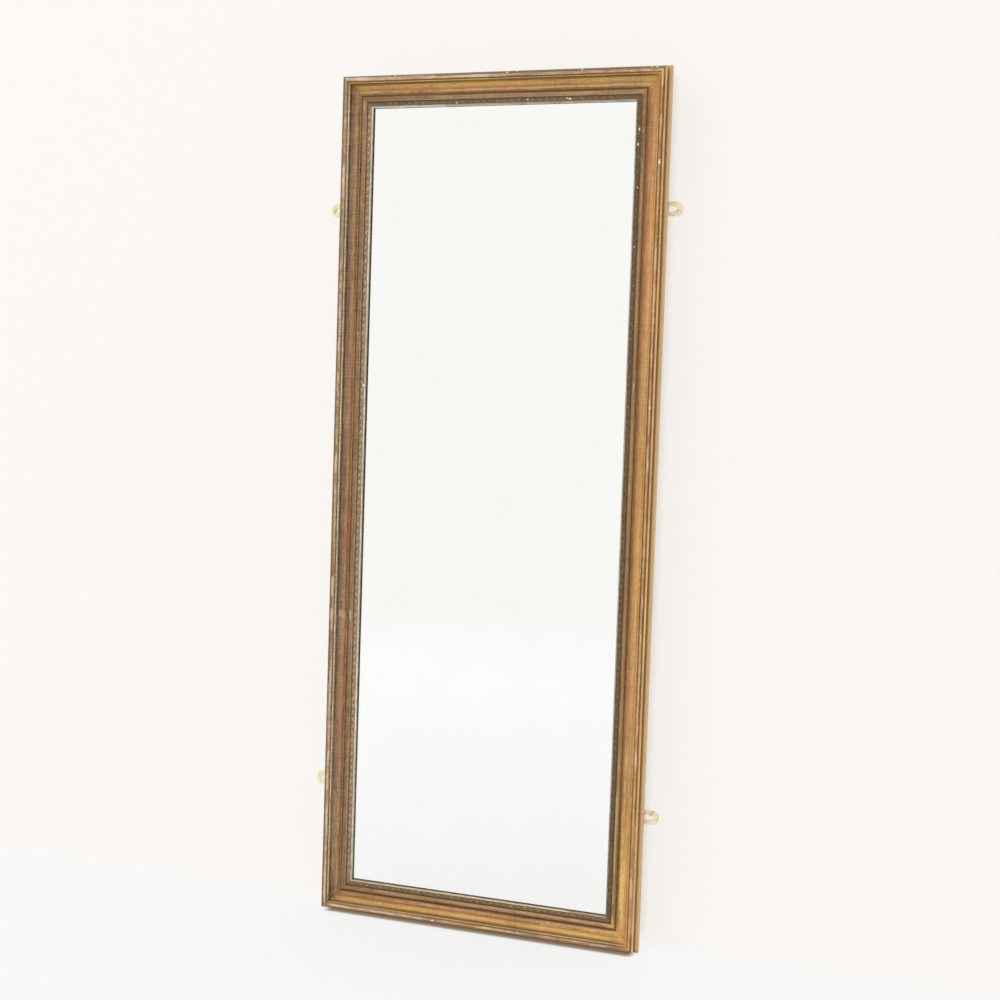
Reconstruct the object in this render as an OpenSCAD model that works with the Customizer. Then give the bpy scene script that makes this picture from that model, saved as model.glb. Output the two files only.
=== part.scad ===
// Gilt pier mirror: a tall rectangular wall mirror in a mitred, gilded and moulded frame.
// Millimetres, +Z up, +Y towards the wall, X across the mirror.
// Origin: centre of the underside of the back frame, which is what the mirror stands on.

/* [Overall] */
// Height of the mirror over its back frame
overall_h = 1850; // [1400:10:2300]
// Width of the mirror over its back frame
overall_w = 736; // [560:2:1000]

/* [Gilt moulding] */
// Depth of the gilt moulding from its front bead to the back frame
moulding_t = 24; // [23:0.5:32]
// Radius of the outer bead, the foremost member
bead_r = 4.7; // [3.8:0.1:5.5]
// Radius of the second bead, on the side of the moulding
side_bead_r = 4.2; // [3.5:0.1:5]
// How far the side bead stands out beyond the outer bead
side_bead_out = 3.5; // [2:0.1:4.5]
// Width of the quirk between the outer bead and the fillet
quirk_w = 1.3; // [0.8:0.1:3]
// Width of the fillet between the quirk and the hollow
fillet_w = 1.8; // [1:0.1:4]
// Level of the fillet below the crest of the outer bead
fillet_drop = 2.8; // [1.5:0.1:4]
// Width of the hollow
hollow_w = 25; // [22:0.5:30]
// Radius of the hollow
hollow_r = 20; // [18:0.5:30]
// Level of the bottom of the hollow below the crest of the outer bead
hollow_floor = 16.4; // [15:0.1:17.5]
// Width of the inner quirk, between the hollow and the round step
inner_quirk_w = 1.8; // [1:0.1:3]
// Width of the round step
step_w = 10.8; // [8:0.1:14]
// Radius of the round step's face
step_r = 9; // [8:0.5:20]
// Level of the round step's crest below the crest of the outer bead
step_drop = 13.4; // [11:0.1:14]
// Width of the channel that holds the composition ornament
channel_w = 9.6; // [8:0.1:14]
// Level of the channel's floor below the crest of the outer bead
channel_drop = 20.6; // [19.8:0.1:21.8]
// Width of the sloping sight lip
lip_w = 4.4; // [3:0.1:8]
// Level of the sight lip's outer arris below the crest of the outer bead
lip_drop = 19.2; // [18:0.1:19.6]
// Level of the sight edge below the crest of the outer bead
sight_drop = 22.2; // [20.6:0.1:22.8]

/* [Composition ornament] */
// Thickness of the ornament's backing fillet
ornament_base_t = 1; // [0.6:0.1:2]
// Height of the leaves above the backing fillet
leaf_relief = 1.8; // [0.8:0.1:3]
// Length along the frame of one repeat, which has two leaves and a berry
ornament_pitch = 31.2; // [26:0.2:50]
// Length of a leaf
leaf_len = 12.5; // [8:0.5:13]
// Greatest width of a leaf
leaf_w = 4.6; // [3:0.1:5]
// Lean of the leaves to the run of the frame
leaf_lean = 20; // [0:1:25]
// Radius of a berry
berry_r = 1.3; // [0.8:0.1:1.6]

/* [Back frame] */
// Thickness of the back-frame rails
back_t = 14; // [13:0.5:22]
// Width by which the sight lip laps over the edge of the glass opening
rebate_w = 12.1; // [8:0.1:16]
// How far the back frame stands out beyond the outer bead on every side
back_overhang = 8; // [4:0.5:12]
// Width of the slope on the back frame's outer front arris
back_slope_w = 5; // [2:0.5:6]
// Depth of that slope
back_slope_t = 5; // [3:0.5:6]

/* [Mirror plate] */
// Thickness of the silvered glass plate
glass_t = 4; // [3:0.5:6]
// Clearance at each side of the glass plate in its opening
glass_side_gap = 1.5; // [0.5:0.1:3]
// Clearance above the glass plate, which stands on the bottom rail
glass_top_gap = 3; // [1:0.5:5]
// Length of one glass block
block_len = 60; // [30:5:90]
// How far a glass block reaches over the back of the plate
block_reach = 10; // [5:0.5:14]

/* [Backboards] */
// Thickness of the backboards, which lie flush in their rebate
board_t = 5; // [4:0.5:7]
// Width of the rebate that carries the backboards' edges
board_seat_w = 10; // [6:0.5:14]
// Gap between neighbouring backboards and around them
board_gap = 0.6; // [0.4:0.1:0.9]

/* [Brass mirror plates] */
// Thickness of a brass plate
plate_t = 2; // [1.5:0.1:3]
// Width of a brass plate, which is also the diameter of its round tab
plate_w = 30; // [26:0.5:40]
// Distance that the tab stands out from the back frame's edge
plate_out = 32; // [30:0.5:45]
// Length of the plate that lies on the back frame
plate_in = 36; // [34:0.5:46]
// Distance of a plate's centre from the top or the bottom of the mirror
plate_inset = 290; // [200:5:380]
// Radius of the keyhole's round hole
keyhole_r = 6.25; // [5:0.05:6.5]
// Distance of the round hole's centre from the back frame's edge
keyhole_out = 7; // [6.8:0.1:9]
// Width of the keyhole's slot
keyslot_w = 6.4; // [5:0.1:8]
// Distance of the slot's round end from the centre of the round hole
keyslot_run = 8.3; // [6:0.1:11]

/* [Fixings] */
// Shank radius of the screws that hold the moulding to the back frame
frame_screw_r = 2; // [1.5:0.1:2.5]
// Head radius of those screws
frame_screw_head_r = 4; // [3:0.1:5]
// Depth to which they bite into the moulding
frame_screw_bite = 12; // [8:0.5:13]
// Distance of those screws in from the moulding's outer edge
frame_screw_in = 6; // [5:0.1:7]
// Distance of the end screws of a stile from the ends of the mirror
frame_screw_inset = 120; // [80:5:150]
// Bite of the corner screws into the front half of the lap
lap_screw_bite = 5; // [3:0.5:6]
// Shank radius of the brass plates' screws
plate_screw_r = 1.6; // [1.2:0.1:2]
// Head radius of the brass plates' screws
plate_screw_head_r = 3.4; // [2.8:0.1:4]
// Bite of the brass plates' screws into the back frame
plate_screw_bite = 10; // [8:0.5:11]
// Shank radius of the backboard nails
nail_r = 1.2; // [0.8:0.1:1.5]
// Head radius of the backboard nails
nail_head_r = 3; // [2:0.1:4]
// Bite of the backboard nails into the back frame
nail_bite = 6; // [4:0.5:6.5]

/* [Hidden] */
$fn = 48;

gilt = [0.72, 0.56, 0.36];
patina = [0.50, 0.40, 0.27];
pine = [0.74, 0.58, 0.38];
deal = [0.66, 0.52, 0.36];
brass = [0.86, 0.74, 0.46];
steel = [0.45, 0.44, 0.42];
silver = [0.93, 0.95, 0.94];

// Turns, about Y, that carry the bottom side's layout to each side of the frame
BOTTOM = 0;
TOP = 180;
LEFT = 90;
RIGHT = -90;

// Radial clearance of every screw and nail in its hole
hole_gap = 0.05;
// Length by which a cutting body passes the face that it cuts
past = 1;
// Depth of the quirk below the fillet's level
quirk_cut = 0.8;
// Overlap of the two beads in depth, which leaves a sharp quirk between them
bead_overlap = 7.4;
// Set-back of the wall behind the side bead, the groove at the joint
groove_in = 1;
// Level of the hollow's inner edge, above the hollow's floor
hollow_rise = 1.9;
// Depth of the inner quirk below the hollow's inner edge
inner_quirk_cut = 2.1;
// Width of the flat on the sight lip
lip_flat = 0.8;
// Clearance at each side of the ornament in its channel
ornament_gap = 0.3;
// Length kept plain at each mitred end of an ornament strip
ornament_end = 6;
// Depth to which the leaves are bedded in the backing fillet
leaf_bed = 0.4;
// Distance of the berries from the edge of the backing fillet
berry_in = 0.5;
// Clearance between the glass blocks and the backboards
block_gap = 0.4;
// Number of backboards
board_count = 5;
// Number of frame screws, and of glass blocks, along a stile and along a rail
stile_count = 5;
rail_count = 2;
// Run of a side's glass blocks as a share of the run of its frame screws
block_run = 0.9;
// Distance of the backboard nails from a board's edge
nail_edge = 45;
// Thickness of a nail's head
nail_head_t = 0.8;
// Distances of the corner screws from the two outer edges of the back frame
lap_screw_near = 25;
lap_screw_far = 42;
// Distances of a brass plate's screw holes from the back frame's edge
plate_hole_near = 10;
plate_hole_far = 27;
// Distance of the two far holes from the plate's centre line
plate_hole_spread = 8;
// Size of the corners cut off a brass plate's inner end
plate_corner = 5;
// Width and depth of the driving slot of every screw
slot_w = 0.9;
slot_t = 0.8;
// Length of a screw's tapered tip, and the radius left at its point
tip_t = 3;
tip_r = 0.4;

// Size of the moulding's outer edge, at the crest of the bead
front_h = overall_h - 2 * back_overhang;
front_w = overall_w - 2 * back_overhang;
// Levels along Y: back face, joint of moulding and back frame, crest of the bead
back_y = back_t / 2;
joint_y = -back_t / 2;
crest_y = joint_y - moulding_t;
board_y = back_y - board_t;
glass_back_y = joint_y + glass_t;

// Distances of the members from the moulding's outer edge
fillet_u = 2 * bead_r + quirk_w;
hollow_u = fillet_u + fillet_w;
inner_quirk_u = hollow_u + hollow_w;
step_u = inner_quirk_u + inner_quirk_w;
channel_u = step_u + step_w;
lip_u = channel_u + channel_w;
sight_u = lip_u + lip_w;

// Centre of the hollow's arc, which ends hollow_rise above its lowest level
hollow_cy = hollow_floor - hollow_r;
hollow_cx = inner_quirk_u - sqrt(pow(hollow_r, 2) - pow(hollow_r - hollow_rise, 2));
inner_quirk_drop = hollow_floor - hollow_rise + inner_quirk_cut;
// Level of the round step's two edges
step_edge = step_drop + step_r - sqrt(pow(step_r, 2) - pow(step_w / 2, 2));
side_bead_cy = 2 * bead_r + side_bead_r - bead_overlap;

// Width of a back-frame member, from its outer edge to the glass opening
back_rail_w = back_overhang + sight_u - rebate_w;
// Glass opening and backboard opening of the back frame
open_w = overall_w - 2 * back_rail_w;
open_h = overall_h - 2 * back_rail_w;
seat_w = open_w + 2 * board_seat_w;
seat_h = open_h + 2 * board_seat_w;
board_h = (seat_h - (board_count + 1) * board_gap) / board_count;
// Depth of a glass block, from the glass plate to just short of the backboards
block_t = back_t - board_t - glass_t - block_gap;

// Length that a mitred moulding has along its outer edge
function side_len(side) = (side == BOTTOM || side == TOP) ? front_w : front_h;
function side_half(side) = (side == BOTTOM || side == TOP) ? front_h / 2 : front_w / 2;
function side_count(side) = (side == BOTTOM || side == TOP) ? rail_count : stile_count;
// Places of the frame screws along a side
function screw_run(side) =
    (side == BOTTOM || side == TOP) ? overall_w / 2 : overall_h - 2 * frame_screw_inset;
function spread(count, run) = [for (i = [0 : count - 1]) -run / 2 + run * i / (count - 1)];

// Lays out a side: X along it, Z inward from the moulding's outer edge, Y as in the mirror
module on_side(side) {
    translate([0, 0, overall_h / 2])
        rotate([0, side, 0])
            translate([0, 0, -side_half(side)])
                children();
}

// Extrudes a section, drawn as inward distance and depth, along a side
module run_section(len) {
    rotate([0, -90, 0])
        linear_extrude(len, center = true)
            children();
}

// Keeps what lies between the two mitres of a side
module mitred(side) {
    half = side_len(side) / 2;
    reach = sight_u + past;
    // Centred depth that passes both the front and the back of the mirror
    depth = 2 * (moulding_t + back_t);
    intersection() {
        children();
        rotate([90, 0, 0])
            linear_extrude(depth, center = true)
                polygon([
                    [-half - back_overhang, -back_overhang], [half + back_overhang, -back_overhang],
                    [half - reach, reach], [-half + reach, reach]
                ]);
    }
}

// Section of the gilt moulding: inward distance, depth behind the crest of the bead
module moulding_section() {
    quirk_drop = fillet_drop + quirk_cut;
    difference() {
        polygon([
            [groove_in, moulding_t], [groove_in, bead_r], [bead_r, bead_r],
            [bead_r, quirk_drop], [fillet_u, quirk_drop], [fillet_u, fillet_drop],
            [inner_quirk_u, fillet_drop], [inner_quirk_u, inner_quirk_drop],
            [step_u, inner_quirk_drop], [step_u, step_edge], [channel_u, step_edge],
            [channel_u, channel_drop], [lip_u, channel_drop], [lip_u, lip_drop],
            [lip_u + lip_flat, lip_drop], [sight_u, sight_drop], [sight_u, moulding_t]
        ]);
        intersection() {
            translate([hollow_cx, hollow_cy]) circle(hollow_r);
            translate([hollow_u, 0]) square([hollow_w + inner_quirk_w / 2, moulding_t]);
        }
    }
    translate([bead_r, bead_r]) circle(bead_r);
    intersection() {
        translate([side_bead_r - side_bead_out, side_bead_cy]) circle(side_bead_r);
        translate([-side_bead_out, 0]) square([2 * side_bead_r, moulding_t]);
    }
    intersection() {
        translate([step_u + step_w / 2, step_drop + step_r]) circle(step_r);
        translate([step_u, step_drop]) square([step_w, moulding_t - step_drop]);
    }
}

// A countersunk wood screw along -Y, with its head's face at the origin
module screw(shank_r, head_r, len) {
    difference() {
        rotate([90, 0, 0]) {
            cylinder(head_r - shank_r, head_r, shank_r);
            cylinder(len - tip_t, r = shank_r);
            translate([0, 0, len - tip_t]) cylinder(tip_t, shank_r, tip_r);
        }
        cube([2 * head_r + past, 2 * slot_t, slot_w], center = true);
    }
}

// The hole that such a screw needs
module screw_hole(shank_r, head_r, len) {
    r = shank_r + hole_gap;
    top_r = head_r + hole_gap;
    rotate([90, 0, 0]) {
        translate([0, 0, -past]) cylinder(past, r = top_r);
        cylinder(head_r - shank_r, top_r, r);
        cylinder(len + hole_gap, r = r);
    }
}

// Places of the frame screws of one side, with their heads at the back face
module at_frame_screws(side) {
    for (x = spread(side_count(side), screw_run(side)))
        on_side(side) translate([x, back_y, frame_screw_in]) children();
}

// Places of the corner screws, two in each lap of the back frame
module at_corner_screws() {
    for (sx = [-1, 1], sz = [-1, 1], swap = [0, 1]) {
        from_side = swap == 0 ? lap_screw_near : lap_screw_far;
        from_end = swap == 0 ? lap_screw_far : lap_screw_near;
        translate([
            sx * (overall_w / 2 - from_side), back_y, overall_h / 2 + sz * (overall_h / 2 - from_end)
        ]) children();
    }
}

// Places of the three screws of the brass plate at the side sx and the end sz
module at_plate_screws(sx, sz) {
    holes = [
        [plate_hole_near, 0], [plate_hole_far, plate_hole_spread], [plate_hole_far, -plate_hole_spread]
    ];
    for (hole = holes)
        translate([
            sx * (overall_w / 2 - hole[0]), back_y + plate_t,
            overall_h / 2 + sz * (overall_h / 2 - plate_inset) + hole[1]
        ]) children();
}

// Lowest level of backboard i, counted from 0 at the bottom
function board_z(i) = back_rail_w - board_seat_w + board_gap + i * (board_h + board_gap);

// Places of the nails of backboard i
module at_board_nails(i) {
    for (sx = [-1, 1], z = [nail_edge, board_h - nail_edge])
        translate([sx * (seat_w - board_seat_w) / 2, back_y, board_z(i) + z]) children();
}

module nail_hole() {
    rotate([90, 0, 0])
        translate([0, 0, -past])
            cylinder(board_t + nail_bite + hole_gap + past, r = nail_r + hole_gap);
}

// A mitred length of gilt moulding, bored from behind for its screws
module moulding(side) {
    color(gilt)
        difference() {
            mitred_moulding(side);
            at_frame_screws(side)
                screw_hole(frame_screw_r, frame_screw_head_r, back_t + frame_screw_bite);
        }
}

module mitred_moulding(side) {
    on_side(side)
        mitred(side)
            translate([0, crest_y, 0])
                run_section(side_len(side) + 2 * back_overhang)
                    moulding_section();
}

module bottom_moulding() {
    moulding(BOTTOM);
}

module top_moulding() {
    moulding(TOP);
}

module left_moulding() {
    moulding(LEFT);
}

module right_moulding() {
    moulding(RIGHT);
}

// One leaf, pointed at both ends, lying along X
module leaf() {
    // Radius of the two arcs that bound the leaf
    arc_r = (pow(leaf_len / 2, 2) + pow(leaf_w / 2, 2)) / leaf_w;
    off = arc_r - leaf_w / 2;
    intersection() {
        translate([0, off]) circle(arc_r);
        translate([0, -off]) circle(arc_r);
    }
}

// A mitred strip of cast composition: running leaves and berries on a thin fillet
module ornament(side) {
    base_w = channel_w - 2 * ornament_gap;
    mid_u = channel_u + channel_w / 2;
    run = side_len(side) - 2 * (channel_u + channel_w + ornament_end);
    count = floor(run / ornament_pitch);
    top_y = crest_y + channel_drop - ornament_base_t;
    color(patina)
        on_side(side) {
            mitred(side)
                translate([0, top_y + ornament_base_t / 2, mid_u])
                    cube([side_len(side), ornament_base_t, base_w], center = true);
            for (i = [0 : count - 1])
                translate([(i - (count - 1) / 2) * ornament_pitch, top_y + leaf_bed, mid_u])
                    rotate([90, 0, 0])
                        linear_extrude(leaf_bed + leaf_relief) {
                            translate([-ornament_pitch / 4, 0]) rotate([0, 0, leaf_lean]) leaf();
                            translate([ornament_pitch / 4, 0]) rotate([0, 0, -leaf_lean]) leaf();
                            translate([0, berry_in + berry_r - base_w / 2]) circle(berry_r);
                        }
        }
}

module bottom_ornament() {
    ornament(BOTTOM);
}

module top_ornament() {
    ornament(TOP);
}

module left_ornament() {
    ornament(LEFT);
}

module right_ornament() {
    ornament(RIGHT);
}

// Outline of the back frame across one of its two directions, with the sloped front arrises
module back_outline(across) {
    polygon([
        [-across / 2, back_y], [across / 2, back_y], [across / 2, joint_y + back_slope_t],
        [across / 2 - back_slope_w, joint_y], [-across / 2 + back_slope_w, joint_y],
        [-across / 2, joint_y + back_slope_t]
    ]);
}

// The whole back frame's outer shape, filled
module back_envelope() {
    intersection() {
        linear_extrude(overall_h) back_outline(overall_w);
        translate([overall_w / 2 + past, 0, overall_h / 2])
            rotate([0, -90, 0])
                linear_extrude(overall_w + 2 * past)
                    back_outline(overall_h);
    }
}

// Holes and the backboards' rebate, common to the back frame's four members
module back_cuts() {
    for (side = [BOTTOM, TOP, LEFT, RIGHT])
        at_frame_screws(side) screw_hole(frame_screw_r, frame_screw_head_r, back_t + frame_screw_bite);
    at_corner_screws() screw_hole(frame_screw_r, frame_screw_head_r, back_t / 2 + lap_screw_bite);
    for (sx = [-1, 1], sz = [-1, 1])
        at_plate_screws(sx, sz) screw_hole(plate_screw_r, plate_screw_head_r, plate_t + plate_screw_bite);
    for (i = [0 : board_count - 1])
        at_board_nails(i) nail_hole();
    translate([-seat_w / 2, board_y, (overall_h - seat_h) / 2]) cube([seat_w, board_t + past, seat_h]);
}

// Stile sx: full height in its front half, lapped behind by the rails
module back_stile(sx) {
    x = sx < 0 ? -overall_w / 2 : overall_w / 2 - back_rail_w;
    color(pine)
        difference() {
            intersection() {
                back_envelope();
                union() {
                    translate([x, joint_y, 0]) cube([back_rail_w, back_t / 2, overall_h]);
                    translate([x, joint_y, back_rail_w]) cube([back_rail_w, back_t, open_h]);
                }
            }
            back_cuts();
        }
}

// Rail at height z: full width in its rear half, behind the stiles
module back_rail(z) {
    color(pine)
        difference() {
            intersection() {
                back_envelope();
                union() {
                    translate([-overall_w / 2, 0, z]) cube([overall_w, back_t / 2, back_rail_w]);
                    translate([-open_w / 2, joint_y, z]) cube([open_w, back_t, back_rail_w]);
                }
            }
            back_cuts();
        }
}

module back_left_stile() {
    back_stile(-1);
}

module back_right_stile() {
    back_stile(1);
}

module back_bottom_rail() {
    back_rail(0);
}

module back_top_rail() {
    back_rail(overall_h - back_rail_w);
}

// Silvered plate glass, standing on the bottom rail behind the sight lips
module mirror_glass() {
    w = open_w - 2 * glass_side_gap;
    color(silver)
        translate([-w / 2, joint_y, back_rail_w])
            cube([w, glass_t, open_h - glass_top_gap]);
}

// Wedge-shaped pine blocks, glued round the opening and bearing on the back of the glass
module glass_blocks() {
    wall_u = back_rail_w - back_overhang;
    color(deal)
        for (side = [BOTTOM, TOP, LEFT, RIGHT])
            for (x = spread(side_count(side), block_run * screw_run(side)))
                on_side(side)
                    translate([x, glass_back_y, wall_u])
                        run_section(block_len)
                            polygon([[0, 0], [block_reach, 0], [0, block_t]]);
}

// Horizontal backboard i, nailed into its rebate
module backboard(i) {
    w = seat_w - 2 * board_gap;
    color(deal)
        difference() {
            translate([-w / 2, board_y, board_z(i)]) cube([w, board_t, board_h]);
            at_board_nails(i) nail_hole();
        }
}

module backboard_1() {
    backboard(0);
}

module backboard_2() {
    backboard(1);
}

module backboard_3() {
    backboard(2);
}

module backboard_4() {
    backboard(3);
}

module backboard_5() {
    backboard(4);
}

// Wire nails, four to a backboard
module backboard_nails() {
    color(steel)
        for (i = [0 : board_count - 1])
            at_board_nails(i) {
                rotate([90, 0, 0]) cylinder(board_t + nail_bite, r = nail_r);
                rotate([-90, 0, 0]) cylinder(nail_head_t, r = nail_head_r);
            }
}

// Outline of a brass plate: X outward from the back frame's edge
module plate_outline() {
    difference() {
        union() {
            translate([plate_out - plate_w / 2, 0]) circle(plate_w / 2);
            polygon([
                [plate_out - plate_w / 2, -plate_w / 2], [plate_out - plate_w / 2, plate_w / 2],
                [-plate_in + plate_corner, plate_w / 2], [-plate_in, plate_w / 2 - plate_corner],
                [-plate_in, -plate_w / 2 + plate_corner], [-plate_in + plate_corner, -plate_w / 2]
            ]);
        }
        translate([keyhole_out, 0]) circle(keyhole_r);
        translate([keyhole_out, -keyslot_w / 2]) square([keyslot_run, keyslot_w]);
        translate([keyhole_out + keyslot_run, 0]) circle(keyslot_w / 2);
    }
}

// Brass mirror plate at the side sx and the end sz, screwed to the back of the stile
module mirror_plate(sx, sz) {
    turn = sx > 0 ? 0 : 180;
    color(brass)
        difference() {
            translate([sx * overall_w / 2, back_y, overall_h / 2 + sz * (overall_h / 2 - plate_inset)])
                rotate([0, turn, 0])
                    rotate([90, 0, 0])
                        translate([0, 0, -plate_t])
                            linear_extrude(plate_t) plate_outline();
            at_plate_screws(sx, sz) screw_hole(plate_screw_r, plate_screw_head_r, plate_t + plate_screw_bite);
        }
}

module upper_left_plate() {
    mirror_plate(-1, 1);
}

module upper_right_plate() {
    mirror_plate(1, 1);
}

module lower_left_plate() {
    mirror_plate(-1, -1);
}

module lower_right_plate() {
    mirror_plate(1, -1);
}

// Screws of the four brass plates
module plate_screws() {
    color(brass)
        for (sx = [-1, 1], sz = [-1, 1])
            at_plate_screws(sx, sz) screw(plate_screw_r, plate_screw_head_r, plate_t + plate_screw_bite);
}

// Screws that draw the moulding down onto the back frame
module frame_screws() {
    color(steel)
        for (side = [BOTTOM, TOP, LEFT, RIGHT])
            at_frame_screws(side) screw(frame_screw_r, frame_screw_head_r, back_t + frame_screw_bite);
}

// Screws of the back frame's four lapped corners
module corner_screws() {
    color(steel)
        at_corner_screws() screw(frame_screw_r, frame_screw_head_r, back_t / 2 + lap_screw_bite);
}

bottom_moulding();
top_moulding();
left_moulding();
right_moulding();
bottom_ornament();
top_ornament();
left_ornament();
right_ornament();
back_bottom_rail();
back_top_rail();
back_left_stile();
back_right_stile();
mirror_glass();
glass_blocks();
backboard_1();
backboard_2();
backboard_3();
backboard_4();
backboard_5();
backboard_nails();
upper_left_plate();
upper_right_plate();
lower_left_plate();
lower_right_plate();
plate_screws();
frame_screws();
corner_screws();
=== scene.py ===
"""Gilt pier mirror: the dressed model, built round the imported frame.

Metres, +Z up, +Y towards the wall. The mirror's own sizes are written in millimetres.
"""

import math
import random

import bpy
from mathutils import Matrix, Vector


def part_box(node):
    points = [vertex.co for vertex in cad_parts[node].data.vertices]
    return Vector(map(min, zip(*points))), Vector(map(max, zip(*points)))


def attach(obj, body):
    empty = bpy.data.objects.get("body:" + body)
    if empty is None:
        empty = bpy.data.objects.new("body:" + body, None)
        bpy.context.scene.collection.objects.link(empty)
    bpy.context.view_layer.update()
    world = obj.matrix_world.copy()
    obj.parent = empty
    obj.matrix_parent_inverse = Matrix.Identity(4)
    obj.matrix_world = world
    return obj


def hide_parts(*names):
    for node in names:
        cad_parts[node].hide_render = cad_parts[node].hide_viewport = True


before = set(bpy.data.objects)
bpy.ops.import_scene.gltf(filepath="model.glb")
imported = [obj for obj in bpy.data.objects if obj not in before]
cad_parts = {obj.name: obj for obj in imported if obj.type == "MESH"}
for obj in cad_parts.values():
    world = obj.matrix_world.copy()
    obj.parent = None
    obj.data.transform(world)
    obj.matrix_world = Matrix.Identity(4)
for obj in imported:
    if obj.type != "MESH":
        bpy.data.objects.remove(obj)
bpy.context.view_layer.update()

mm = 0.001
overall_h = 1850
front_h = 1834
front_w = 720
crest_y = -31
moulding_d = 24

# Round members of the section: centre inward from the outer edge, centre behind the crest, radius
front_bead = (4.7, 4.7, 4.7)
side_bead = (0.7, 6.2, 4.2)
hollow = (28.992, -3.6, 20.0)
step = (44.7, 22.4, 9.0)

# The four sides: turn about Y that brings a length to its place, its half-distance from the
# centre, and its length over the mitres
SIDES = {
    "bottom": (0, front_h / 2, front_w),
    "top": (180, front_h / 2, front_w),
    "left": (90, front_w / 2, front_h),
    "right": (-90, front_w / 2, front_h),
}


def select_none():
    """Leaves edit mode and deselects everything."""
    if bpy.context.object and bpy.context.object.mode != "OBJECT":
        bpy.ops.object.mode_set(mode="OBJECT")
    bpy.ops.object.select_all(action="DESELECT")


def pick(*pieces):
    """Selects these pieces alone, the first as the active one."""
    select_none()
    for piece in pieces:
        piece.select_set(True)
    bpy.context.view_layer.objects.active = pieces[0]


def put_on(piece, turn, half):
    """Brings a piece from the bench (X along, Z inward, Y as in the mirror) to its side."""
    piece.data.transform(
        Matrix.Translation((0, 0, overall_h / 2 * mm))
        @ Matrix.Rotation(math.radians(turn), 4, "Y")
        @ Matrix.Translation((0, 0, -half * mm))
    )


def arc(member, start, end, steps):
    """Points of a round member, from one angle to another; 90 degrees faces the viewer."""
    inward, depth, radius = member
    for i in range(steps + 1):
        a = math.radians(start + (end - start) * i / steps)
        yield inward + radius * math.cos(a), depth - radius * math.sin(a)


# Section of the moulding: distance inward from the outer edge, depth behind the bead's crest
section = [(1, moulding_d)]
section += arc(side_bead, 274.1, 88, 20)
section += arc(front_bead, 145, 13.6, 18)
section += [(10.7, 3.6), (10.7, 2.8), (12.5, 2.8)]
section += arc(hollow, 214.5, 295.2, 22)
section += [(37.5, 16.6), (39.3, 16.6)]
section += arc(step, 126.9, 53.1, 10)
section += [(50.1, 20.6), (59.7, 20.6), (59.7, 19.2), (61.0, 19.2), (63.6, 22.1)]
section += [(63.6, moulding_d)]


def apply_all(piece):
    """Applies a piece's modifiers in their order."""
    pick(piece)
    for modifier in list(piece.modifiers):
        bpy.ops.object.modifier_apply(modifier=modifier.name)


def cut_mitres(reach):
    """Cuts both ends of the length being edited at 45 degrees."""
    for end in (-1, 1):
        bpy.ops.mesh.select_all(action="SELECT")
        bpy.ops.mesh.bisect(
            plane_co=(end * reach * mm, 0, 0), plane_no=(end, 0, 1), use_fill=True, clear_outer=True
        )


def moulding_length(name, length):
    """One length on the bench: its section run out past both ends, mitred and softened."""
    spare = 10
    select_none()
    bpy.ops.mesh.primitive_circle_add(vertices=len(section), radius=0.02, fill_type="NGON")
    piece = bpy.context.object
    piece.name = piece.data.name = name
    half = length / 2 + spare
    for corner, (u, d) in zip(piece.data.vertices, section):
        corner.co = (-half * mm, (crest_y + d) * mm, u * mm)
    bpy.ops.object.mode_set(mode="EDIT")
    bpy.ops.mesh.select_all(action="SELECT")
    bpy.ops.mesh.extrude_region_move(TRANSFORM_OT_translate={"value": (2 * half * mm, 0, 0)})
    bpy.ops.mesh.select_all(action="SELECT")
    bpy.ops.mesh.normals_make_consistent(inside=False)
    cut_mitres(length / 2)
    bpy.ops.mesh.select_all(action="SELECT")
    bpy.ops.mesh.normals_make_consistent(inside=False)
    bpy.ops.object.mode_set(mode="OBJECT")
    soften = piece.modifiers.new("soft arrises", "BEVEL")
    soften.width = 0.3 * mm
    soften.segments = 2
    soften.limit_method = "ANGLE"
    soften.angle_limit = math.radians(32)
    apply_all(piece)
    return piece


mouldings = {
    side: moulding_length(side + "_gilding", length) for side, (_, _, length) in SIDES.items()
}


def paint(*rgb):
    """A paint's colour from its red, green and blue, 0 to 255."""
    linear = (c / 255 / 12.92 if c < 11 else ((c / 255 + 0.055) / 1.055) ** 2.4 for c in rgb)
    return (*linear, 1)


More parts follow.
